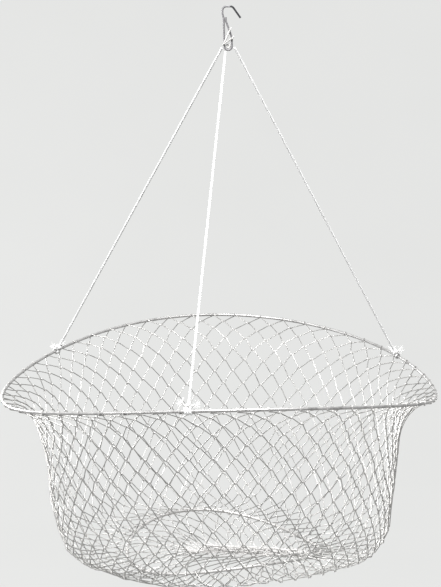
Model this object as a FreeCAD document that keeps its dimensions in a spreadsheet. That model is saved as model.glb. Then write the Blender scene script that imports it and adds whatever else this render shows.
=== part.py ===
import FreeCAD, Part
import Sketcher
import math
import os

# Folding crab trap of flexible wire netting, hung from a wire hook by a three-leg cord bridle.
# Origin: the point inside the top of the hook's bend that hangs on a line. +Z is up, -Y is the front.

Vector = FreeCAD.Vector
doc = FreeCAD.newDocument("CrabTrap")

# ---------------------------------------------------------------------------- driving dimensions, mm

DIMENSIONS = [
    ("top_ring_radius", 305.0, "mean radius of the top ring's centreline"),
    ("top_ring_drop", 481.3, "hang point down to the top ring's mean plane"),
    ("top_ring_sag", 24.0, "how far the flexed top ring droops and rises about its mean plane"),
    ("top_ring_squeeze", 18.5, "how far the top ring is drawn in at its drooping sides"),
    ("top_ring_lobe", 6.0, "three-lobed part of the top ring's shape, one lobe to a cord"),
    ("bottom_ring_radius", 133.0, "mean radius of the bottom ring's centreline"),
    ("bottom_ring_sag", 12.0, "how far the bent bottom ring leaves its mean plane"),
    ("ring_rod", 4.0, "diameter of the rod that both rings are bent from"),
    ("net_depth", 236.0, "top ring's mean plane down to the net's floor"),
    ("net_skin", 0.8, "thickness of the net's courses"),
    ("net_gap", 0.3, "room between neighbouring courses"),
    ("floor_slack", 5.0, "how far the slack floor bulges up between the bottom ring and the seam"),
    ("seam_length", 146.0, "length of the gathered seam that closes the floor"),
    ("seam_wire_diameter", 2.4, "diameter of the doubled wire laced along the seam"),
    ("cord_diameter", 3.0, "diameter of the bridle cords"),
    ("hook_wire", 2.5, "diameter of the hook's wire"),
    ("hook_bend_radius", 5.0, "centreline radius of the hook's bend beside the shank"),
    ("eye_radius", 4.8, "centreline radius of the eye at the hook's foot"),
    ("eye_drop", 54.4, "hang point down to the centreline of the eye's lowest point"),
    ("eye_offset", 0.4, "sideways from the hang point to the eye's centre"),
    ("net_offset", -5.0, "sideways from the hang point to the net's axis"),
    ("eye_cord_turn", 2.2, "centreline radius of the turn of cord inside the eye"),
    ("lashing_cord_radius", 1.2, "radius of the lashings' cord, squeezed by the load"),
    ("knot_length", 9.0, "length of the cord turns round the top ring"),
    ("knot_radius", 4.2, "radius of a ring knot's body"),
    ("knot_tail", 13.0, "length of a knot's frayed tails"),
]

sheet = doc.addObject("Spreadsheet::Sheet", "Dimensions")
for row, (alias, value, note) in enumerate(DIMENSIONS, start=1):
    sheet.set("A%d" % row, note)
    sheet.set("B%d" % row, str(value))
    sheet.setAlias("B%d" % row, alias)
doc.recompute()


def dim(alias):
    return float(sheet.get(alias))


SIDE_COURSES = 18       # courses of wire netting from the top ring to the turn into the floor
FLOOR_COURSES = 4       # from the turn to the bottom ring
INNER_COURSES = 5       # from the bottom ring to the gathered seam
STATIONS = 36           # points on each closed edge of a course
TIES = (262.5, 143.5, 36.5)   # where the front, left and right cords meet the top ring, degrees from +X

nodes = []


def add_node(label, obj):
    obj.Label = label
    nodes.append(obj)
    return obj


def shape_node(label, shape):
    obj = doc.addObject("Part::Feature", label)
    obj.Shape = shape
    return add_node(label, obj)


# ---------------------------------------------------------------------------- flexed shapes

ring_z = -dim("top_ring_drop")
floor_z = ring_z - dim("net_depth")
net_x = dim("net_offset")
rod_radius = dim("ring_rod") / 2
top_radius = dim("top_ring_radius")
bottom_radius = dim("bottom_ring_radius")


def wave(angle, lobes, phase):
    return math.cos(lobes * angle - math.radians(phase))


def top_flex(angle):
    """How far the top ring leaves its mean circle at this angle: outwards, and up."""
    out = -dim("top_ring_squeeze") * wave(angle, 2, -13.0) - dim("top_ring_lobe") * wave(angle, 3, -15.0)
    return out, -dim("top_ring_sag") * wave(angle, 2, 11.0)


def bottom_flex(angle):
    return -3.0 * wave(angle, 2, 40.0), -dim("bottom_ring_sag") * wave(angle, 2, 50.0)


# The net's mean profile from the top ring to the bottom ring: radius, and depth below the top ring.
PROFILE = [
    (top_radius, 0.0), (279.0, 12.0), (261.0, 31.0), (250.5, 62.0), (242.0, 107.0), (234.0, 152.0),
    (227.0, 189.0), (218.0, 214.0), (203.0, 229.0), (182.0, 236.0), (bottom_radius, dim("net_depth")),
]
profile_curve = Part.BSplineCurve()
profile_curve.interpolate([Vector(r, 0, -depth) for r, depth in PROFILE])
profile_edge = profile_curve.toShape()
profile_length = profile_edge.Length
course_length = profile_length / (SIDE_COURSES + FLOOR_COURSES)


def net_point(along, angle):
    """A point of the net's middle surface, so far along the profile from the top ring."""
    p = profile_edge.valueAt(profile_edge.getParameterByLength(along))
    share = along / profile_length
    out_top, up_top = top_flex(angle)
    out_bottom, up_bottom = bottom_flex(angle)
    near_top = max(0.0, 1.0 - share / 0.82)
    near_bottom = max(0.0, (share - 0.55) / 0.45) ** 2
    radius = p.x + near_top * out_top + near_bottom * out_bottom
    height = ring_z + p.z + near_top * up_top + near_bottom * up_bottom
    return Vector(net_x + radius * math.cos(angle), radius * math.sin(angle), height)


seam_centre = Vector(net_x + 38.0, -26.0, floor_z - 5.0)
seam_turn = math.radians(-10.0)
seam_way = Vector(math.cos(seam_turn), math.sin(seam_turn), 0.0)
seam_side = Vector(-math.sin(seam_turn), math.cos(seam_turn), 0.0)


def inner_point(along, angle):
    """A point of the floor inside the bottom ring: along runs from 0 at the ring to 1 at the seam."""
    rim = net_point(profile_length, angle)
    slit = seam_centre + seam_way * (dim("seam_length") / 2 * math.cos(angle - seam_turn))
    slit = slit + seam_side * (3.6 * math.sin(angle - seam_turn))
    edge = rim - Vector(math.cos(angle), math.sin(angle), 0.0) * (rod_radius + 3 * dim("net_gap"))
    slack = Vector(0, 0, 4 * dim("floor_slack") * along * (1.0 - along))
    return edge * (1.0 - along) + slit * along + slack


def normal_of(surface, along, angle, step):
    ahead = surface(along + step, angle) - surface(along - step, angle)
    round_way = surface(along, angle + 0.01) - surface(along, angle - 0.01)
    return ahead.cross(round_way).normalize()


def closed_curve(points):
    curve = Part.BSplineCurve()
    curve.interpolate(Points=points, PeriodicFlag=True)
    return Part.Wire([curve.toShape()])


def band(surface, start, end, step, tilt):
    """One course: a thin closed ring of skin between two places along a surface, tilted to nest in the last."""
    half = dim("net_skin") / 2
    angles = [2 * math.pi * n / STATIONS for n in range(STATIONS)]
    wires = []
    for along, offset in ((start, -tilt - half), (start, -tilt + half), (end, tilt + half), (end, tilt - half)):
        points = []
        for angle in angles:
            points.append(surface(along, angle) + normal_of(surface, along, angle, step) * offset)
        wires.append(closed_curve(points))
    faces = []
    for first, second in zip(wires, wires[1:] + wires[:1]):
        faces.append(Part.makeRuledSurface(first.Edges[0], second.Edges[0]))
    shell = Part.makeShell(faces)
    shell.sewShape()
    solid = Part.makeSolid(shell)
    if solid.Volume < 0:
        solid.reverse()
    return solid


# ---------------------------------------------------------------------------- closed rod of tangent arcs


def biarc(p0, t0, p1, t1):
    """Two tangent arcs from p0, leaving along t0, to p1, arriving along t1."""
    v = p1 - p0
    t = t0 + t1
    a = 2 * (1 - t0.dot(t1))
    b = 2 * v.dot(t)
    c = -v.dot(v)
    reach = -c / b if abs(a) < 1e-9 else (-b + math.sqrt(b * b - 4 * a * c)) / (2 * a)
    joint = (p0 + p1 + (t0 - t1) * reach) * 0.5
    arcs = []
    for start, way, end in ((p0, t0, joint), (p1, t1 * -1, joint)):
        chord = end - start
        along = chord.dot(way)
        across = chord - way * along
        if across.Length < 1e-6:
            arcs.append(Part.LineSegment(start, end))
            continue
        radius = chord.dot(chord) / (2 * across.Length)
        centre = start + across.normalize() * radius
        middle = (start + end) * 0.5 - centre
        middle = centre + middle.normalize() * radius
        arcs.append(Part.Arc(start, middle, end))
    return arcs


def way_along(point, angle):
    return (point(angle + 0.001) - point(angle - 0.001)).normalize()


def half_rod(point, diameter, first, count):
    """Half of a bent ring: a rod through count + 1 places on point(angle), from the angle first."""
    step = math.pi / count
    edges = []
    for n in range(count):
        before = first + n * step
        after = before + step
        for arc in biarc(point(before), way_along(point, before), point(after), way_along(point, after)):
            edges.append(arc.toShape())
    route = Part.Wire(edges)
    start = Part.Wire([Part.Circle(point(first), way_along(point, first), diameter / 2).toShape()])
    return route.makePipeShell([start], True, False), route.Length


def closed_rod(point, diameter, count):
    """A rod bent into a closed ring, its two halves welded end to end."""
    first_half, first_length = half_rod(point, diameter, 0.0, count)
    second_half, second_length = half_rod(point, diameter, math.pi, count)
    return first_half.fuse(second_half), first_length + second_length


def top_ring_point(angle):
    return net_point(0.0, angle)


def bottom_ring_point(angle):
    return net_point(profile_length, angle)


top_rod, top_length = closed_rod(top_ring_point, dim("ring_rod"), 10)
shape_node("top_ring", top_rod)
bottom_rod, bottom_length = closed_rod(bottom_ring_point, dim("ring_rod"), 8)
shape_node("bottom_ring", bottom_rod)

# ---------------------------------------------------------------------------- the net, course by course

nest = (dim("net_skin") + dim("net_gap")) / 2
half_gap = dim("net_gap") / 2
rod_room = rod_radius + dim("net_gap")

for n in range(SIDE_COURSES + FLOOR_COURSES):
    start = n * course_length + half_gap
    end = (n + 1) * course_length - half_gap
    if n == 0:
        start = rod_room
    if n == SIDE_COURSES + FLOOR_COURSES - 1:
        end = profile_length - rod_room
    tilt = nest if n < SIDE_COURSES else 0.0
    course = band(net_point, start, end, 0.05, tilt)
    if n == 0:
        for tie in TIES:
            course = course.cut(Part.makeSphere(8.0, top_ring_point(math.radians(tie))))
    kind = "side" if n < SIDE_COURSES else "floor"
    shape_node("%s_course_%02d" % (kind, n + 1), course)

for n in range(INNER_COURSES):
    first = n / INNER_COURSES + 0.002
    last = (n + 1) / INNER_COURSES - 0.002
    shape_node("inner_course_%02d" % (n + 1), band(inner_point, first, last, 0.001, 0.0))

seam = doc.addObject("Part::Cylinder", "seam_wire")
seam.setExpression("Radius", "Dimensions.seam_wire_diameter / 2")
seam.setExpression("Height", "Dimensions.seam_length - 14")
seam_half = (dim("seam_length") - 14.0) / 2
seam.Placement = FreeCAD.Placement(
    seam_centre - seam_way * seam_half, FreeCAD.Rotation(Vector(0, 0, 1), seam_way))
add_node("seam_wire", seam)

# ---------------------------------------------------------------------------- the hook, bent from one wire

eye_x = dim("eye_offset")
eye_z = -dim("eye_drop")
eye_radius = dim("eye_radius")
bend_radius = dim("hook_bend_radius")
wire_radius = dim("hook_wire") / 2


def rounded(corners):
    """Lines and tangent arcs through corners, each (x, z, radius); the first and last have no arc."""
    pieces = []
    here = Vector(corners[0][0], corners[0][1], 0)
    for before, corner, after in zip(corners, corners[1:], corners[2:]):
        p = Vector(corner[0], corner[1], 0)
        back = (Vector(before[0], before[1], 0) - p).normalize()
        on = (Vector(after[0], after[1], 0) - p).normalize()
        half_turn = (math.pi - back.getAngle(on)) / 2
        reach = corner[2] * math.tan(half_turn)
        start = p + back * reach
        end = p + on * reach
        centre_way = (back + on).normalize()
        centre = p + centre_way * (corner[2] / math.cos(half_turn))
        if (start - here).Length > 1e-6:
            pieces.append(Part.LineSegment(here, start))
        pieces.append(Part.Arc(start, centre - centre_way * corner[2], end))
        here = end
    last = Vector(corners[-1][0], corners[-1][1], 0)
    pieces.append(Part.LineSegment(here, last))
    return pieces


def origin_plane(body, role):
    for feature in body.Origin.OriginFeatures:
        if feature.Role == role:
            return feature
    raise ValueError(role)


def new_sketch(body, name, role):
    sketch = body.newObject("Sketcher::SketchObject", name)
    sketch.AttachmentSupport = [(origin_plane(body, role), "")]
    sketch.MapMode = "FlatFace"
    return sketch


left_x = eye_x - eye_radius
right_x = eye_x + eye_radius
neck_x = -2.8
HOOK_ROUTE = [
    (neck_x, -12.5, 0),
    (neck_x, -17.0, 6.0),
    (5.0, -38.0, 12.0),
    (right_x, eye_z, 0.93 * eye_radius),
    (left_x, eye_z, 0.93 * eye_radius),
    (-5.5, -14.0, 14.0),
    (-7.2, -7.5, 8.0),
    (-7.0, wire_radius, bend_radius),
    (5.8, wire_radius, 4.6),
    (16.2, -13.4, 0),
]

hook = doc.addObject("PartDesign::Body", "hook")
hook_route = new_sketch(hook, "hook_route", "XZ_Plane")
route_pieces = rounded(HOOK_ROUTE)
for piece in route_pieces:
    hook_route.addGeometry(piece, False)
hook_section = new_sketch(hook, "hook_section", "XY_Plane")
hook_section.AttachmentOffset = FreeCAD.Placement(Vector(0, 0, HOOK_ROUTE[0][1]), FreeCAD.Rotation())
hook_section.addGeometry(Part.Circle(Vector(neck_x, 0, 0), Vector(0, 0, 1), wire_radius), False)
wire_size = hook_section.addConstraint(Sketcher.Constraint("Diameter", 0, dim("hook_wire")))
hook_section.setExpression("Constraints[%d]" % wire_size, "Dimensions.hook_wire")
doc.recompute()
hook_pipe = hook.newObject("PartDesign::AdditivePipe", "hook_pipe")
hook_pipe.Profile = hook_section
hook_pipe.Spine = (hook_route, ["Edge%d" % (n + 1) for n in range(len(route_pieces))])
hook.Tip = hook_pipe
add_node("hook", hook)

# ---------------------------------------------------------------------------- cord lashings on the hook

lashing_blank = doc.addObject("Part::Cylinder", "lashing_blank")
lashing_blank.setExpression("Radius", "Dimensions.eye_cord_turn + Dimensions.lashing_cord_radius")
lashing_bore = doc.addObject("Part::Cylinder", "lashing_bore")
lashing_bore.setExpression("Radius", "Dimensions.eye_cord_turn - Dimensions.lashing_cord_radius")
for solid in (lashing_blank, lashing_bore):
    solid.setExpression("Height", "2 * Dimensions.lashing_cord_radius")
    solid.Placement = FreeCAD.Placement(
        Vector(eye_x, dim("lashing_cord_radius"), eye_z + eye_radius), FreeCAD.Rotation(Vector(1, 0, 0), 90))
lashing_ring = doc.addObject("Part::Cut", "lashing_ring")
lashing_ring.Base = lashing_blank
lashing_ring.Tool = lashing_bore
doc.recompute()
lashing = doc.addObject("Part::Fillet", "eye_lashing")
lashing.Base = lashing_ring
rounding = 0.8 * dim("lashing_cord_radius")
lashing.Edges = [(n + 1, rounding, rounding) for n, edge in enumerate(lashing_ring.Shape.Edges)
                 if isinstance(edge.Curve, Part.Circle)]
add_node("eye_lashing", lashing)


def oval_turn(left, right):
    """One turn of cord round both wires of the hook's shank, between two places (x, z) on them."""
    cord = dim("lashing_cord_radius")
    end_radius = wire_radius + cord + 0.1
    start = Vector(left[0], 0, left[1])
    way = Vector(right[0], 0, right[1]) - start
    half = way.Length / 2
    corners = [Vector(-half, -end_radius, 0), Vector(half, -end_radius, 0),
               Vector(half, end_radius, 0), Vector(-half, end_radius, 0)]
    edges = [
        Part.LineSegment(corners[0], corners[1]).toShape(),
        Part.Arc(corners[1], Vector(half + end_radius, 0, 0), corners[2]).toShape(),
        Part.LineSegment(corners[2], corners[3]).toShape(),
        Part.Arc(corners[3], Vector(-half - end_radius, 0, 0), corners[0]).toShape(),
    ]
    route = Part.Wire(edges)
    section = Part.Wire([Part.Circle(corners[0], Vector(1, 0, 0), cord).toShape()])
    turn = route.makePipeShell([section], True, False)
    if turn.Volume < 0:
        turn.reverse()
    tilt = math.degrees(math.atan2(-way.z, way.x))
    turn.Placement = FreeCAD.Placement(start + way * 0.5, FreeCAD.Rotation(Vector(0, 1, 0), tilt))
    return turn


wraps = oval_turn((-4.1, -46.0), (5.0, -39.5)).fuse(oval_turn((-4.2, -44.5), (2.6, -29.0)))
shape_node("shank_lashing", wraps.removeSplitter())

# ---------------------------------------------------------------------------- the bridle's cords and knots

cord_radius = dim("cord_diameter") / 2
beside_eye = eye_radius + wire_radius + 2 * dim("net_gap") + cord_radius
CORD_TOPS = [
    Vector(-3.2, -4.4, eye_z - 2.4),
    Vector(eye_x - beside_eye, 0, eye_z + 2.6),
    Vector(eye_x + beside_eye, 0, eye_z + 3.0),
]
NAMES = ("front", "left", "right")
vertical = Vector(0, 0, 1)
cords = []

for name, tie, cord_top in zip(NAMES, TIES, CORD_TOPS):
    angle = math.radians(tie)
    on_ring = top_ring_point(angle)
    ring_way = way_along(top_ring_point, angle)
    cord_way = (cord_top - on_ring).normalize()
    knot_centre = on_ring + cord_way * (rod_radius + dim("knot_radius") + 0.6)

    cord = doc.addObject("Part::Cylinder", "bridle_cord_" + name)
    cord.setExpression("Radius", "Dimensions.cord_diameter / 2")
    cord_start = knot_centre + cord_way * (dim("knot_radius") - 1.0)
    cord.Height = (cord_top - cord_start).Length
    cord.Placement = FreeCAD.Placement(cord_start, FreeCAD.Rotation(vertical, cord_way))
    add_node("bridle_cord_" + name, cord)
    cords.append(cord)

    turns_outside = doc.addObject("Part::Cylinder", "turns_outside_" + name)
    turns_outside.setExpression("Radius", "Dimensions.ring_rod / 2 + 0.1 + Dimensions.cord_diameter")
    turns_bore = doc.addObject("Part::Cylinder", "turns_bore_" + name)
    turns_bore.setExpression("Radius", "Dimensions.ring_rod / 2 + 0.1")
    for turns in (turns_outside, turns_bore):
        turns.setExpression("Height", "Dimensions.knot_length")
        turns.Placement = FreeCAD.Placement(
            on_ring - ring_way * (dim("knot_length") / 2), FreeCAD.Rotation(vertical, ring_way))
    lump = doc.addObject("Part::Sphere", "knot_lump_" + name)
    lump.setExpression("Radius", "Dimensions.knot_radius")
    lump.Placement = FreeCAD.Placement(knot_centre, FreeCAD.Rotation())
    outward = Vector(math.cos(angle), math.sin(angle), 0)
    tails = []
    for number, way in enumerate((ring_way + outward * 0.4, ring_way * -1 + outward * 0.3)):
        tail = doc.addObject("Part::Cone", "knot_tail_%s_%d" % (name, number))
        tail.Radius1 = cord_radius
        tail.Radius2 = cord_radius * 1.3
        tail.setExpression("Height", "Dimensions.knot_tail")
        tail.Placement = FreeCAD.Placement(
            knot_centre, FreeCAD.Rotation(vertical, way + vertical * (0.45 - 0.25 * number)))
        tails.append(tail)
    solid_knot = doc.addObject("Part::MultiFuse", "knot_solid_" + name)
    solid_knot.Shapes = [turns_outside, lump] + tails
    knot = doc.addObject("Part::Cut", "ring_knot_" + name)
    knot.Base = solid_knot
    knot.Tool = turns_bore
    add_node("ring_knot_" + name, knot)

doc.recompute()

# ---------------------------------------------------------------------------- checks and files

for obj in doc.Objects:
    for state in obj.State:
        if state in ("Invalid", "Error"):
            raise RuntimeError("%s is %s" % (obj.Label, state))

os.makedirs("parts", exist_ok=True)
for obj in nodes:
    shape = obj.Shape
    if shape.isNull() or not shape.isValid() or not shape.Solids:
        raise RuntimeError("%s has no valid solid" % obj.Label)
    shape.exportStep("parts/%s.step" % obj.Label)
    box = shape.BoundBox
    print("%-20s %10.1f mm3  solids %d  z %.1f..%.1f" % (
        obj.Label, shape.Volume, len(shape.Solids), box.ZMin, box.ZMax))


def compare(name, shape, radius, length):
    """Prints a rod's or cord's radius and length, and its volume over section times length."""
    share = shape.Volume / (math.pi * radius ** 2 * length)
    print("%-20s radius %.2f, length %.1f, volume over section x length %.4f" % (name, radius, length, share))


compare("top_ring", top_rod, rod_radius, top_length)
compare("bottom_ring", bottom_rod, rod_radius, bottom_length)
compare("hook", hook.Shape, wire_radius, hook_route.Shape.Length)
for cord in cords:
    compare(cord.Label, cord.Shape, cord_radius, float(cord.Height))
print("hook bend radii %s" % [corner[2] for corner in HOOK_ROUTE[1:-1]])
print("course length %.2f, profile length %.1f" % (course_length, profile_length))
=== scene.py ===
import math

import bpy
import numpy as np
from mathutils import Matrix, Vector


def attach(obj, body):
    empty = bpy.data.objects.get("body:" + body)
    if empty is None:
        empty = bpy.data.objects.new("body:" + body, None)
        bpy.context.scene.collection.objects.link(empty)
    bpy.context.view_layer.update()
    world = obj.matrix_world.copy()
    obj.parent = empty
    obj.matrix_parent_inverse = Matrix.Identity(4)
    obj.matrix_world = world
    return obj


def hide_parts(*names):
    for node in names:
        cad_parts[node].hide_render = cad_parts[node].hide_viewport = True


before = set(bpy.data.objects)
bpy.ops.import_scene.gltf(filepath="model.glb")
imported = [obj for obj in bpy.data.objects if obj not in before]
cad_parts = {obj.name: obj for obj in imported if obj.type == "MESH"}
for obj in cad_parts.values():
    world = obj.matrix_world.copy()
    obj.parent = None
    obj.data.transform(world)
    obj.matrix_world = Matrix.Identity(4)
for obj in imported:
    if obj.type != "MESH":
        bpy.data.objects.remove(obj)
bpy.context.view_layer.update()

# Folding crab trap: chain-link wire netting between two rods, on a cord bridle and a wire hook.
# Metres, in the CAD frame: the origin is where the hook hangs, +Z is up and -Y is the front.

scene = bpy.context.scene
rng = np.random.default_rng(11)

# ------------------------------------------------------------------ sizes, as in the CAD model

NET_X = -0.005
RING_Z = -0.4813
TOP_RADIUS = 0.305
BOTTOM_RADIUS = 0.133
DEPTH = 0.236
ROD = 0.002
CORD = 0.003
LASHING = 0.0012        # radius of the lashings' cord
HOOK_WIRE = 0.00125
EYE_RADIUS = 0.0048
EYE_Z = -0.0544
EYE_X = 0.0004
SEAM_LENGTH = 0.146
SEAM_HALF_WIDTH = 0.0036
RIM_GAP = 0.0009        # from the bottom ring's rod to the edge of the floor inside it
FLOOR_SLACK = 0.005
SIDE, FLOOR, INNER = 18, 4, 5
TIES = {"front": 262.5, "left": 143.5, "right": 36.5}

NET_WIRE = 0.00060      # radius of the netting's wire
CELLS = 58              # cells round the net's side and outer floor
INNER_CELLS = 32        # cells round the floor inside the bottom ring


def unit(v):
    return v / np.maximum(np.linalg.norm(v, axis=-1, keepdims=True), 1e-12)


# ------------------------------------------------------------------ the net's surface

PROFILE = np.array([
    (TOP_RADIUS, 0.0), (0.279, 0.012), (0.261, 0.031), (0.2505, 0.062), (0.242, 0.107), (0.234, 0.152),
    (0.227, 0.189), (0.218, 0.214), (0.203, 0.229), (0.182, 0.236), (BOTTOM_RADIUS, DEPTH),
])


def smooth_line(points, count):
    """A natural cubic spline through points, sampled finely, with its length so far at each sample."""
    knots = np.concatenate([[0.0], np.cumsum(np.linalg.norm(np.diff(points, axis=0), axis=1))])
    step = np.diff(knots)
    size = len(points)
    matrix = np.eye(size)
    right = np.zeros((size, points.shape[1]))
    for n in range(1, size - 1):
        matrix[n, n - 1:n + 2] = step[n - 1], 2 * (step[n - 1] + step[n]), step[n]
        right[n] = 6 * ((points[n + 1] - points[n]) / step[n] - (points[n] - points[n - 1]) / step[n - 1])
    bend = np.linalg.solve(matrix, right)
    at = np.linspace(0.0, knots[-1], count)
    n = np.clip(np.searchsorted(knots, at) - 1, 0, size - 2)
    a = ((knots[n + 1] - at) / step[n])[:, None]
    b = 1.0 - a
    h = (step[n] ** 2 / 6)[:, None]
    line = a * points[n] + b * points[n + 1] + ((a ** 3 - a) * bend[n] + (b ** 3 - b) * bend[n + 1]) * h
    return line, np.concatenate([[0.0], np.cumsum(np.linalg.norm(np.diff(line, axis=0), axis=1))])


# The net isn't quite round: the top ring is squeezed to an oval and bent to a saddle, and the floor warps.
TOP_OVAL, TOP_EGG, TOP_SADDLE = 0.0185, 0.006, 0.024
TOP_FADE = 0.82         # the top's flex has died away this share of the way down the net
FLOOR_OVAL, FLOOR_WARP = 0.003, 0.012
FLOOR_FROM, FLOOR_FADE = 0.55, 0.45     # where the floor's flex begins, and over what share it grows

profile_line, profile_at = smooth_line(PROFILE, 800)
PROFILE_LENGTH = profile_at[-1]
COURSE = PROFILE_LENGTH / (SIDE + FLOOR)


def wave(angle, lobes, phase):
    """A wave round the net, with this many lobes."""
    return np.cos(lobes * angle - math.radians(phase))


def net_point(along, angle):
    """The place on the net's side this far down it: a bowl, flexed to a saddle at the top ring."""
    along, angle = np.broadcast_arrays(np.asarray(along, float), np.asarray(angle, float))
    radius = np.interp(along, profile_at, profile_line[:, 0])
    depth = np.interp(along, profile_at, profile_line[:, 1])
    share = along / PROFILE_LENGTH
    near_top = np.maximum(0.0, 1.0 - share / TOP_FADE)
    near_bottom = np.maximum(0.0, (share - FLOOR_FROM) / FLOOR_FADE) ** 2
    radius = radius + near_top * (-TOP_OVAL * wave(angle, 2, -13.0) - TOP_EGG * wave(angle, 3, -15.0))
    radius = radius - near_bottom * FLOOR_OVAL * wave(angle, 2, 40.0)
    droop = near_top * TOP_SADDLE * wave(angle, 2, 11.0) + near_bottom * FLOOR_WARP * wave(angle, 2, 50.0)
    height = RING_Z - depth - droop
    return np.stack([NET_X + radius * np.cos(angle), radius * np.sin(angle), height], axis=-1)


SEAM_CENTRE = np.array([NET_X + 0.038, -0.026, RING_Z - DEPTH - 0.005])
SEAM_TURN = math.radians(-10.0)
SEAM_WAY = np.array([math.cos(SEAM_TURN), math.sin(SEAM_TURN), 0.0])
SEAM_SIDE = np.array([-math.sin(SEAM_TURN), math.cos(SEAM_TURN), 0.0])


def inner_point(along, angle):
    """The place on the floor inside the bottom ring, from its edge at 0 to the seam at 1."""
    along, angle = np.broadcast_arrays(np.asarray(along, float), np.asarray(angle, float))
    rim = net_point(PROFILE_LENGTH, angle)
    turned = (angle - SEAM_TURN)[..., None]
    slit = SEAM_CENTRE + SEAM_WAY * SEAM_LENGTH / 2 * np.cos(turned)
    slit = slit + SEAM_SIDE * SEAM_HALF_WIDTH * np.sin(turned)
    inward = np.stack([-np.cos(angle), -np.sin(angle), np.zeros_like(angle)], axis=-1)
    edge = rim + inward * (ROD + RIM_GAP)
    share = along[..., None]
    slack = np.array([0.0, 0.0, 1.0]) * 4 * FLOOR_SLACK * share * (1.0 - share)
    return edge * (1.0 - share) + slit * share + slack


def frame_on(surface, along, angle, step):
    """A point of a surface, the way onwards along it, and its outward normal."""
    onward = unit(surface(along + step, angle) - surface(along - step, angle))
    around = surface(along, angle + 0.01) - surface(along, angle - 0.01)
    return surface(along, angle), onward, unit(np.cross(onward, around))


# ------------------------------------------------------------------ meshes


def sweep(points, normals, radius, sides, closed):
    """A round wire along points; normals only steady its section. radius is one number or one a point."""
    if closed:
        way = np.roll(points, -1, axis=0) - np.roll(points, 1, axis=0)
    else:
        way = np.gradient(points, axis=0)
    way = unit(way)
    side = unit(np.cross(way, normals))
    up = np.cross(side, way)
    turn = np.arange(sides) * 2 * math.pi / sides
    radius = np.broadcast_to(np.asarray(radius, float), (len(points),))[:, None, None]
    ring = np.cos(turn)[None, :, None] * up[:, None, :] + np.sin(turn)[None, :, None] * side[:, None, :]
    verts = (points[:, None, :] + radius * ring).reshape(-1, 3)
    count = len(points)
    rows = np.arange(count if closed else count - 1)
    here = rows[:, None] * sides + np.arange(sides)[None, :]
    there = ((rows + 1) % count)[:, None] * sides + np.arange(sides)[None, :]
    faces = np.stack([here, np.roll(here, -1, axis=1), np.roll(there, -1, axis=1), there], axis=-1)
    faces = faces.reshape(-1, 4).tolist()
    if not closed:
        faces.append(list(range(sides))[::-1])
        faces.append([(count - 1) * sides + n for n in range(sides)])
    return verts, faces


def steady_normals(points, closed=False):
    """Normals carried along a line without twisting."""
    way = np.roll(points, -1, axis=0) - np.roll(points, 1, axis=0) if closed else np.gradient(points, axis=0)
    way = unit(way)
    start = np.array([0.0, 0.0, 1.0]) if abs(way[0][2]) < 0.8 else np.array([1.0, 0.0, 0.0])
    normals = [unit(start - way[0] * start.dot(way[0]))]
    for n in range(1, len(points)):
        last = normals[-1] - way[n] * normals[-1].dot(way[n])
        normals.append(unit(last))
    return np.array(normals)


def evenly(points, spacing):
    """The same line, resampled at about this spacing."""
    at = np.concatenate([[0.0], np.cumsum(np.linalg.norm(np.diff(points, axis=0), axis=1))])
    places = np.linspace(0.0, at[-1], max(4, int(at[-1] / spacing) + 1))
    return np.stack([np.interp(places, at, points[:, n]) for n in range(3)], axis=-1), places


def rope(points, radius, pitch, fuzz=0.0):
    """Three strands laid round a line."""
    line, at = evenly(points, pitch / 14)
    normals = steady_normals(line)
    side = np.cross(unit(np.gradient(line, axis=0)), normals)
    strand = 0.80 * radius
    solids = []
    for number in range(3):
        phase = (2 * math.pi * (at / pitch + number / 3))[:, None]
        out = np.cos(phase) * normals + np.sin(phase) * side
        swell = 1.0 + fuzz * np.sin(at / pitch * 11.3 + number * 2.1)
        solids.append(sweep(line + out * (radius - strand), out, strand * swell, 8, False))
    return solids


def piece(name, solids, material, body, stands_for=()):
    """One object made of swept solids, riding on a body in place of its CAD nodes."""
    verts, faces, start = [], [], 0
    for points, quads in solids:
        verts.append(points)
        faces += [[v + start for v in quad] for quad in quads]
        start += len(points)
    mesh = bpy.data.meshes.new(name)
    mesh.from_pydata(np.concatenate(verts).tolist(), [], faces)
    mesh.polygons.foreach_set("use_smooth", [True] * len(mesh.polygons))
    mesh.materials.append(material)
    mesh.update()
    obj = bpy.data.objects.new(name, mesh)
    scene.collection.objects.link(obj)
    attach(obj, body)
    if stands_for:
        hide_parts(*stands_for)
    return obj


# ------------------------------------------------------------------ materials

HOOK_PAINTED_REFLECTION = (("X", 0.0022, 0.0032), ("Z", -0.0190, -0.0165))    # where a dark reflection is painted on the hook's wire


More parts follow.
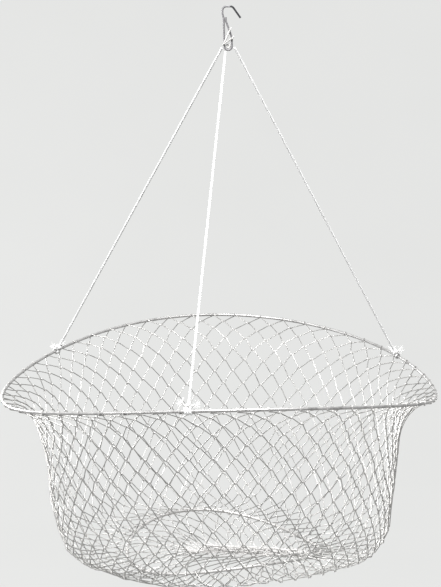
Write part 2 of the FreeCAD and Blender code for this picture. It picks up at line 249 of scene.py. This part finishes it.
class Nodes:
    """A material's node tree, with short names for what is built here."""

    def __init__(self, name):
        self.material = bpy.data.materials.new(name)
        self.material.use_nodes = True
        self.tree = self.material.node_tree
        self.shader = self.tree.nodes["Principled BSDF"]
        coords = self.tree.nodes.new("ShaderNodeTexCoord")
        self.place = coords.outputs["Object"]

    def noise(self, scale, detail=4.0, rough=0.55, vector=None):
        node = self.tree.nodes.new("ShaderNodeTexNoise")
        node.inputs["Scale"].default_value = scale
        node.inputs["Detail"].default_value = detail
        node.inputs["Roughness"].default_value = rough
        self.tree.links.new(vector or self.place, node.inputs["Vector"])
        return node.outputs["Fac"]

    def ramp(self, value, stops):
        node = self.tree.nodes.new("ShaderNodeValToRGB")
        ramp = node.color_ramp
        while len(ramp.elements) < len(stops):
            ramp.elements.new(0.5)
        for element, (at, colour) in zip(ramp.elements, stops):
            element.position = at
            element.color = (*colour, 1.0)
        self.tree.links.new(value, node.inputs["Fac"])
        return node.outputs["Color"]

    def spread(self, value, low, high):
        node = self.tree.nodes.new("ShaderNodeMapRange")
        node.inputs["To Min"].default_value = low
        node.inputs["To Max"].default_value = high
        self.tree.links.new(value, node.inputs["Value"])
        return node.outputs["Result"]

    def bump(self, value, distance, strength=1.0):
        node = self.tree.nodes.new("ShaderNodeBump")
        node.inputs["Distance"].default_value = distance
        node.inputs["Strength"].default_value = strength
        self.tree.links.new(value, node.inputs["Height"])
        self.tree.links.new(node.outputs["Normal"], self.shader.inputs["Normal"])

    def beyond(self, axis, start, end):
        """0 where this coordinate is less than start, rising to 1 at end."""
        split = self.tree.nodes.new("ShaderNodeSeparateXYZ")
        self.tree.links.new(self.place, split.inputs["Vector"])
        node = self.tree.nodes.new("ShaderNodeMapRange")
        node.inputs["From Min"].default_value = start
        node.inputs["From Max"].default_value = end
        self.tree.links.new(split.outputs[axis], node.inputs["Value"])
        return node.outputs["Result"]

    def product(self, first, second):
        node = self.tree.nodes.new("ShaderNodeMath")
        node.operation = "MULTIPLY"
        self.tree.links.new(first, node.inputs[0])
        self.tree.links.new(second, node.inputs[1])
        return node.outputs["Value"]

    def painted(self, name):
        """The value stored at each vertex under this name."""
        node = self.tree.nodes.new("ShaderNodeAttribute")
        node.attribute_name = name
        return node.outputs["Fac"]

    def shade(self, colour, mask, shaded):
        """One colour, turned to another where the mask is 1."""
        node = self.tree.nodes.new("ShaderNodeMix")
        node.data_type = "RGBA"
        self.tree.links.new(mask, node.inputs["Factor"])
        self.tree.links.new(colour, node.inputs[6])
        node.inputs[7].default_value = shaded
        return node.outputs[2]

    def plug(self, value, socket):
        self.tree.links.new(value, self.shader.inputs[socket])

    def keep(self, socket, value):
        self.shader.inputs[socket].default_value = value


GLINT_PAINT = (0.53, 0.52, 0.51)       # painted highlight: the pale colour of the netting's bends, where the wire glints
# the nearly black colour of the painted dark reflection
PAINTED_REFLECTION_COLOUR = (0.030, 0.030, 0.033, 1.0)


def metal(name, dark, light, rough, grain, metallic=0.75, painted_reflection=(), painted_glints=False):
    """Zinc-coated steel: a mottled coat, dull patches and a fine pitted surface, and a dark reflection
    painted on one part.
    It can also paint a highlight in the bends: a pale, less metallic colour where the wire glints."""
    m = Nodes(name)
    m.keep("Metallic", metallic)
    dull = tuple(c * 0.88 for c in light)
    coat = m.ramp(m.noise(grain, 5.0), [(0.30, dark), (0.52, light), (0.75, dull)])
    # painted dark reflection: the coat turns nearly black where both limits are passed
    if painted_reflection:
        first, second = (m.beyond(*limits) for limits in painted_reflection)
        coat = m.shade(coat, m.product(first, second), PAINTED_REFLECTION_COLOUR)
    if painted_glints:
        # painted highlight in the bends, by the bend value stored on the wire
        bends = m.painted("bend")
        coat = m.shade(coat, bends, GLINT_PAINT + (1.0,))
        m.plug(m.spread(bends, metallic, 0.15), "Metallic")
    m.plug(coat, "Base Color")
    m.plug(m.spread(m.noise(grain * 2.3, 3.0), rough * 0.75, rough * 1.4), "Roughness")
    m.bump(m.noise(grain * 9.0, 2.0), 0.00006, 0.6)
    return m.material


def twine(name, clean, soiled):
    """White laid cord: fine fibres, a matt sheen and faint soiling."""
    m = Nodes(name)
    m.plug(m.ramp(m.noise(90.0, 4.0), [(0.36, soiled), (0.60, clean)]), "Base Color")
    m.keep("Roughness", 0.82)
    m.keep("Subsurface Weight", 0.6)
    m.keep("Subsurface Radius", (1.0, 1.0, 1.0))
    m.keep("Subsurface Scale", 0.002)
    m.keep("Sheen Weight", 0.15)
    m.keep("Sheen Roughness", 0.5)
    m.bump(m.noise(2600.0, 3.0, 0.7), 0.00025, 0.8)
    return m.material


# the netting's bends carry a painted highlight
NETTING = metal("galvanised_netting", (0.18, 0.176, 0.171), (0.38, 0.374, 0.363), 0.38, 130.0, 0.92,
                painted_glints=True)
RODS = metal("galvanised_rod", (0.21, 0.207, 0.203), (0.36, 0.355, 0.35), 0.40, 90.0, 0.60)
# painted light: a paler, less metallic copy of the rod's zinc, so that the bottom ring shows bright all
# along
LIT_ROD = metal("galvanised_rod_painted_light", (0.25, 0.246, 0.24), (0.43, 0.423, 0.415), 0.44, 60.0, 0.55)
# painted light: a paler, rougher, hardly metallic copy of the netting's zinc, against the self-shadow of the
# dense gathers at the seam
LIT_GATHERS = metal("galvanised_gathers_painted_light", (0.32, 0.313, 0.306), (0.50, 0.49, 0.48), 0.50, 170.0, 0.20)
# a dark reflection is painted on part of the hook's wire
PLATED = metal("plated_spring_wire", (0.13, 0.127, 0.132), (0.19, 0.186, 0.192), 0.60, 240.0, 0.65,
               HOOK_PAINTED_REFLECTION)
TWINE = twine("white_cord", (0.68, 0.68, 0.675), (0.60, 0.597, 0.59))
# painted shade: a darker copy of the white cord, for the lashings on the hook
SHADED_CORD = twine("cord_painted_in_shade", (0.46, 0.454, 0.442), (0.36, 0.354, 0.342))
# a paler copy of the white cord: the frayed fibres' colour, and painted light on the knots against their
# self-shadow
FRAY_AND_LIT_KNOTS = twine("frayed_fibres_and_lit_knots", (0.80, 0.80, 0.79), (0.70, 0.695, 0.68))

# the bottom ring takes the rod's zinc painted lighter
for node, material in (("top_ring", RODS), ("bottom_ring", LIT_ROD), ("hook", PLATED)):
    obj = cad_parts[node]
    obj = bpy.data.objects[obj] if isinstance(obj, str) else obj
    for slot in obj.material_slots:
        slot.material = material

# ------------------------------------------------------------------ chain-link netting, course by course

GRIP = 0.0012           # how far a bend reaches past the place where two courses meet
BEND = 0.0011           # half the width of a bend
LAYER = NET_WIRE * 1.7      # the bars that run down lie outside, and the bars that run up inside
LOOP = ROD + NET_WIRE + 0.0001
JITTER = 0.07           # how unevenly the bends stand round the net, as a share of a cell
BROAD_DENT, FINE_DENT, FLOOR_DENT = 0.0012, 0.0008, 0.0011


def meeting_places(boundary):
    """Where two courses hook into each other: points, ways down the net and outward normals."""
    inner = boundary > SIDE + FLOOR
    cells = INNER_CELLS if inner else CELLS
    step = 2 * math.pi / cells
    jitter = rng.uniform(-1, 1, (cells, 2))
    offset = 0.5 * (boundary % 2)
    angle = (np.arange(cells) + offset) * step + jitter[:, 0] * step * JITTER
    on_rod = boundary in (0, SIDE + FLOOR)
    if inner:
        slack = 0.01 if boundary < SIDE + FLOOR + INNER else 0.0
        along = (boundary - SIDE - FLOOR) / INNER + jitter[:, 1] * slack
        point, down, out = frame_on(inner_point, along, angle, 0.005)
    else:
        slack = 0.0 if on_rod else 0.0008 if boundary < SIDE else 0.0016
        along = boundary * COURSE + jitter[:, 1] * slack
        point, down, out = frame_on(net_point, along, angle, 0.0005)
    if not on_rod:
        dents = BROAD_DENT * np.sin(angle * 5 + boundary * 0.9)
        dents += FINE_DENT * np.sin(angle * 11 - boundary * 0.7)
        if SIDE - 4 < boundary < SIDE + FLOOR:
            dents += FLOOR_DENT * np.sin(angle * 17 + boundary * 1.9)
        point = point + out * dents[:, None]
    return point, down, out


def rim_places():
    """The inner floor's loops over the bottom ring."""
    step = 2 * math.pi / INNER_CELLS
    angle = (np.arange(INNER_CELLS) + 0.1) * step + rng.uniform(-1, 1, INNER_CELLS) * step * 0.04
    return frame_on(net_point, PROFILE_LENGTH, angle, 0.0005)


def course_wire(top, bottom, shift, top_rod, bottom_rod):
    """One zigzag wire: out and down to a bottom bend, then inside and up to the next top bend."""
    points, normals = [], []
    cells = len(top[0])
    order = (np.arange(cells) + shift) % cells
    nxt = (np.arange(cells) + 1) % cells
    low = [part[order] for part in bottom]
    high = [top[0], -top[1], top[2]]

    def add(point, normal):
        points.append(point)
        normals.append(normal)

    def bend(place, sign, on_rod):
        """Round a bend, from the layer on one side (sign +1 outside, -1 inside) to the other."""
        point, onward, out = place
        if on_rod:
            for turn in (90.0, 45.0, 0.0, -45.0, -90.0):
                c, s = math.cos(math.radians(turn)), math.sin(math.radians(turn))
                add(point + (onward * c + out * sign * s) * LOOP, out)
            return
        around = np.cross(out, onward) * sign
        for across, reach, lift in ((-1.0, 0.25, 1.0), (-0.72, 0.78, 0.7), (0.0, 1.0, 0.0),
                                    (0.72, 0.78, -0.7), (1.0, 0.25, -1.0)):
            add(point + around * BEND * across + onward * GRIP * reach + out * sign * LAYER * lift, out)

    def bar(first, second, sign, first_rod, second_rod):
        """A straight bar from one bend to the next, on the outside (+1) or the inside (-1)."""
        width = BEND * sign
        start = first[0] + (0.0 if first_rod else 1.0) * np.cross(first[2], first[1]) * -width
        end = second[0] + (0.0 if second_rod else 1.0) * np.cross(second[2], second[1]) * -width
        for share in (0.10, 0.35, 0.65, 0.90):
            out = first[2] * (1 - share) + second[2] * share
            lift = LAYER
            if first_rod:
                lift = max(lift, LOOP + (LAYER - LOOP) * min(1.0, share / 0.5))
            if second_rod:
                lift = max(lift, LOOP + (LAYER - LOOP) * min(1.0, (1 - share) / 0.5))
            add(start + (end - start) * share + out * sign * lift, out)

    following = [part[nxt] for part in high]
    bar(high, low, 1.0, top_rod, bottom_rod)
    bend(low, 1.0, bottom_rod)
    bar(low, following, -1.0, bottom_rod, top_rod)
    bend(following, -1.0, top_rod)
    line = np.stack(points, axis=1).reshape(-1, 3)
    return line, unit(np.stack(normals, axis=1).reshape(-1, 3))


places = [meeting_places(n) for n in range(SIDE + FLOOR + INNER + 1)]
inner_rim = rim_places()
for number in range(SIDE + FLOOR + INNER):
    inner = number - SIDE - FLOOR
    top = inner_rim if inner == 0 else places[number]
    shift = number % 2
    line, normals = course_wire(top, places[number + 1], shift, number == 0 or inner == 0,
                                number == SIDE + FLOOR - 1)
    if number < SIDE:
        node = "side_course_%02d" % (number + 1)
        body = "net_frame" if number == 0 else "course_%02d" % (number + 1)
    elif inner < 0:
        node, body = "floor_course_%02d" % (number + 1), "net_base"
    else:
        node, body = "inner_course_%02d" % (inner + 1), "net_base"
    wire = sweep(line, normals, NET_WIRE, 8, True)
    # the innermost course, gathered at the seam, is painted lighter against its self-shadow
    material = LIT_GATHERS if inner == INNER - 1 else NETTING
    obj = piece("wire_" + node, [wire], material, body, (node,))
    # how much painted highlight each point takes: none on the bars, most in the middle of a bend
    bends = np.tile([0, 0, 0, 0, 0.3, 0.8, 1, 0.8, 0.3] * 2, len(line) // 18)
    obj.data.attributes.new("bend", "FLOAT", "POINT").data.foreach_set("value", np.repeat(bends, 8))

# ------------------------------------------------------------------ the gathered seam's lacing

seam_half = SEAM_LENGTH / 2 - 0.001
upwards = np.array([0.0, 0.0, 1.0])


def along_seam(reach, side, lift, wander):
    """A gathered strand along the seam, wandering a little from a straight line."""
    t = np.linspace(-reach, reach, 90)[:, None]
    phase, beat = rng.uniform(0, 6.3), rng.uniform(150, 320)
    place = SEAM_CENTRE + SEAM_WAY * t + SEAM_SIDE * (side + wander * np.sin(t * beat + phase))
    return place + upwards * (lift + 0.5 * wander * np.cos(t * beat * 0.8 + phase))


def coil(radius, rise, pitch, turns_reach):
    """Lacing wound round the seam."""
    t = np.linspace(-turns_reach, turns_reach, int(turns_reach / abs(pitch) * 40))[:, None]
    spin = t * 2 * math.pi / pitch
    width = radius * (1.0 + 0.15 * np.sin(t * 310))
    height = 0.0042 + rise * np.sin(spin)
    return SEAM_CENTRE + SEAM_WAY * t + SEAM_SIDE * width * np.cos(spin) + upwards * height


strands = [along_seam(seam_half, side, 0.0004, 0.0003) for side in (-0.0012, 0.0013)]
for n in range(10):
    reach = seam_half * rng.uniform(0.82, 1.0)
    strands.append(along_seam(reach, (n % 3 - 1) * 0.0022, 0.0008 + n * 0.0010, 0.0013))
strands.append(coil(0.0040, 0.0048, 0.0085, seam_half))
strands.append(coil(0.0034, 0.0040, -0.0117, seam_half * 0.97))
lacing = [sweep(strand, steady_normals(strand), NET_WIRE, 8, False) for strand in strands]
# the lacing is painted lighter too, against its self-shadow
piece("seam_lacing", lacing, LIT_GATHERS, "net_base", ("seam_wire",))

# ------------------------------------------------------------------ bridle cords


def route_of(name, controls):
    """Points along a smooth spline with these control points."""
    curve = bpy.data.curves.new(name, "CURVE")
    curve.dimensions = "3D"
    curve.resolution_u = 24
    spline = curve.splines.new("NURBS")
    spline.points.add(len(controls) - 1)
    for point, place in zip(spline.points, controls):
        point.co = (*place, 1.0)
    spline.order_u = 3
    spline.use_endpoint_u = True
    obj = bpy.data.objects.new(name, curve)
    scene.collection.objects.link(obj)
    bpy.context.view_layer.update()
    mesh = bpy.data.meshes.new_from_object(obj)
    line = np.array([v.co[:] for v in mesh.vertices])
    bpy.data.objects.remove(obj)
    bpy.data.meshes.remove(mesh)
    return line


beside_eye = EYE_RADIUS + HOOK_WIRE + 0.0006 + CORD / 2
CORD_TOPS = {
    "front": np.array([-0.0032, -0.0044, EYE_Z - 0.0024]),
    "left": np.array([EYE_X - beside_eye, 0.0, EYE_Z + 0.0026]),
    "right": np.array([EYE_X + beside_eye, 0.0, EYE_Z + 0.0030]),
}
KNOT = 0.0042


def trefoil(centre, normal, along, size):
    """The line of an overhand knot."""
    t = np.linspace(0, 2 * math.pi, 90)
    flat = np.stack([np.sin(t) + 2 * np.sin(2 * t), np.cos(t) - 2 * np.cos(2 * t), -np.sin(3 * t)], axis=-1)
    across = np.cross(normal, along)
    return centre + (flat[:, :1] * along + flat[:, 1:2] * across + flat[:, 2:] * normal * 1.3) * size


def frayed_tail(start, way, length, count):
    """A cut cord end: a stub of the laid cord, and its fibres splayed out."""
    way = unit(way)
    stub = start + way * np.linspace(0, length * 0.45, 8)[:, None]
    fibres = []
    for _ in range(count):
        spray = unit(way + rng.normal(0, 0.42, 3))
        reach = length * rng.uniform(0.45, 0.95)
        t = np.linspace(0, 1, 9)[:, None]
        origin = stub[-2] + rng.normal(0, CORD * 0.16, 3)
        curl = rng.normal(0, 0.18, 3)
        fibre = origin + (way * (1 - t) + spray * t + curl * t * t) * t * reach
        taper = np.linspace(0.00024, 0.00009, 9)
        fibres.append(sweep(fibre, steady_normals(fibre), taper, 5, False))
    return rope(stub, CORD / 2 * 0.92, 0.009), fibres


CORD_PITCH = 0.0105     # one full turn of the cord's strands
TIE_REACH = 0.0046      # half the length of ring that a tie's turns cover
TIE_PITCH = 0.0031
TIE_CORD, KNOT_CORD = 0.0014, 0.0015    # radius of the cord where it is pulled tight
TIE_LAY = 0.008         # one full turn of its strands there
TAIL, TAIL_FIBRES = 0.0095, 46
TAIL_LIFT = {"front": (0.15, 0.75), "left": (0.5, 0.1), "right": (0.2, 0.6)}

for name, degrees in TIES.items():
    angle = math.radians(degrees)
    on_ring = net_point(0.0, angle)
    ring_way = unit(net_point(0.0, angle + 0.001) - net_point(0.0, angle - 0.001))
    top = CORD_TOPS[name]
    cord_way = unit(top - on_ring)
    knot = on_ring + cord_way * (ROD + KNOT + 0.0006)
    start = knot + cord_way * (KNOT - 0.001)
    line = route_of("route_" + name, [start, start + cord_way * 0.018, top - cord_way * 0.018, top])
    strands = rope(line, CORD / 2, CORD_PITCH, 0.01)
    node = "bridle_cord_" + name
    cord = piece("cord_" + name, strands, TWINE, "net_frame", (node,))

    outward = np.array([math.cos(angle), math.sin(angle), 0.0])
    turns_at = np.linspace(-TIE_REACH, TIE_REACH, 90)[:, None]
    spin = turns_at / TIE_PITCH * 2 * math.pi
    side = unit(np.cross(ring_way, outward))
    wrap = on_ring + ring_way * turns_at + (outward * np.cos(spin) + side * np.sin(spin)) * (ROD + 0.00148)
    solids = rope(wrap, TIE_CORD, TIE_LAY)
    solids += rope(trefoil(knot, cord_way, ring_way, 0.00115), KNOT_CORD, TIE_LAY)
    tails = (knot + ring_way * 0.003, ring_way + outward * 0.3 + upwards * TAIL_LIFT[name][0]), (
        knot - ring_way * 0.003, -ring_way + outward * 0.4 + upwards * TAIL_LIFT[name][1])
    fibres = []
    for place, way in tails:
        stub, spray = frayed_tail(place, way, TAIL, TAIL_FIBRES)
        solids += stub
        fibres += spray
    # the knots take the paler cord: painted light against their self-shadow
    piece("knot_" + name, solids, FRAY_AND_LIT_KNOTS, "net_frame", ("ring_knot_" + name,))
    piece("fray_" + name, fibres, FRAY_AND_LIT_KNOTS, "net_frame")

# ------------------------------------------------------------------ cord on the hook

turn = np.linspace(0, 2 * math.pi, 120)[:, None]
eye_centre = np.array([EYE_X, 0.0, EYE_Z + EYE_RADIUS])
out = np.concatenate([np.cos(turn), np.zeros_like(turn), np.sin(turn)], axis=1)
sideways = np.array([0.0, 1.0, 0.0])
eye_turn = eye_centre + out * (0.0022 + 0.00012 * np.sin(3 * turn)) + sideways * 0.0003 * np.sin(turn)
# the eye's lashing is the white cord painted in shade
piece("lashing_turns", rope(eye_turn, LASHING, 0.0075), SHADED_CORD, "lashing", ("eye_lashing",))


def oval(left, right):
    """One turn of cord round both wires of the shank, between two places (x, z) on them."""
    start, end = np.array([left[0], 0.0, left[1]]), np.array([right[0], 0.0, right[1]])
    half = np.linalg.norm(end - start) / 2
    way = unit(end - start)
    reach = HOOK_WIRE + LASHING + 0.0001
    turns = np.radians(np.linspace(-90, 90, 12))[:, None]
    right_end = way * (half + reach * np.cos(turns)) + sideways * reach * np.sin(turns)
    left_end = -way * (half + reach * np.cos(turns)) - sideways * reach * np.sin(turns)
    return (start + end) / 2 + np.concatenate([right_end, left_end, right_end[:1]])


wraps = rope(oval((-0.0041, -0.0460), (0.0050, -0.0395)), LASHING, 0.0085)
wraps += rope(oval((-0.0042, -0.0445), (0.0026, -0.0290)), LASHING, 0.0085)
# the shank's wraps are the white cord painted in shade
piece("shank_wraps", wraps, SHADED_CORD, "hook", ("shank_lashing",))

# ------------------------------------------------------------------ studio

PAPER = (0.74, 0.745, 0.735)
FLOOR_LEVEL = -1.05
FLOOR_END = 1.4         # where the floor begins to sweep up, behind the object
SWEEP = 1.6             # radius of the sweep
FLOOR_NEAR, WALL_TOP = -3.5, 4.5
HALF_WIDTH = 5.0


def backdrop():
    """A plain pale floor that sweeps up into a wall."""
    line = [(FLOOR_NEAR, FLOOR_LEVEL), (FLOOR_END, FLOOR_LEVEL)]
    for n in range(1, 12):
        turn = math.radians(n * 7.5)
        line.append((FLOOR_END + SWEEP * math.sin(turn), FLOOR_LEVEL + SWEEP - SWEEP * math.cos(turn)))
    line.append((FLOOR_END + SWEEP, WALL_TOP))
    verts = [(side, y, z) for y, z in line for side in (-HALF_WIDTH, HALF_WIDTH)]
    faces = [(n, n + 1, n + 3, n + 2) for n in range(0, len(verts) - 2, 2)]
    mesh = bpy.data.meshes.new("backdrop")
    mesh.from_pydata(verts, [], faces)
    mesh.polygons.foreach_set("use_smooth", [True] * len(mesh.polygons))
    m = Nodes("backdrop_paper")
    mottled = tuple(c * 0.98 for c in PAPER)
    m.plug(m.ramp(m.noise(3.0, 2.0), [(0.2, mottled), (0.8, PAPER)]), "Emission Color")
    m.keep("Emission Strength", 1.0)
    m.keep("Base Color", (0.03, 0.03, 0.03, 1.0))
    m.keep("Roughness", 1.0)
    m.keep("Specular IOR Level", 0.0)
    mesh.materials.append(m.material)
    obj = bpy.data.objects.new("backdrop", mesh)
    scene.collection.objects.link(obj)


def area_light(name, place, aim, size, power):
    """A rectangular light that faces the aim."""
    data = bpy.data.lights.new(name, "AREA")
    data.shape = "RECTANGLE"
    data.size, data.size_y = size
    data.energy = power
    obj = bpy.data.objects.new(name, data)
    obj.location = place
    obj.rotation_mode = "QUATERNION"
    obj.rotation_quaternion = (Vector(aim) - Vector(place)).to_track_quat("-Z", "Y")
    scene.collection.objects.link(obj)


backdrop()
area_light("front", (0.0, -1.5, 1.95), (0.0, 0.0, -0.5), (1.1, 0.8), 170.0)
area_light("key", (-2.4, -1.2, 0.8), (0.0, 0.0, -0.55), (0.9, 1.2), 60.0)
area_light("low", (-1.85, 2.2, -0.05), (0.0, 0.0, -0.55), (0.9, 0.7), 80.0)
area_light("top", (0.1, -0.5, 1.5), (0.0, 0.0, -0.6), (0.9, 0.5), 25.0)

world = bpy.data.worlds.new("studio")
world.use_nodes = True
surroundings = world.node_tree.nodes["Background"]
surroundings.inputs["Color"].default_value = (0.9, 0.92, 0.95, 1.0)
surroundings.inputs["Strength"].default_value = 0.40
scene.world = world

camera_data = bpy.data.cameras.new("camera")
camera_data.sensor_fit = "VERTICAL"
camera_data.sensor_height = 24.0
camera_data.lens = 74.9
camera_data.clip_start = 0.05
camera_data.clip_end = 60.0
camera = bpy.data.objects.new("camera", camera_data)
camera.location = (-0.0096, -2.389, 0.0135)
look_down = math.radians(9.2)
camera.rotation_euler = (math.pi / 2 - look_down, 0.0, 0.0)
scene.collection.objects.link(camera)
scene.camera = camera
scene.view_settings.view_transform = "Standard"
scene.view_settings.look = "None"
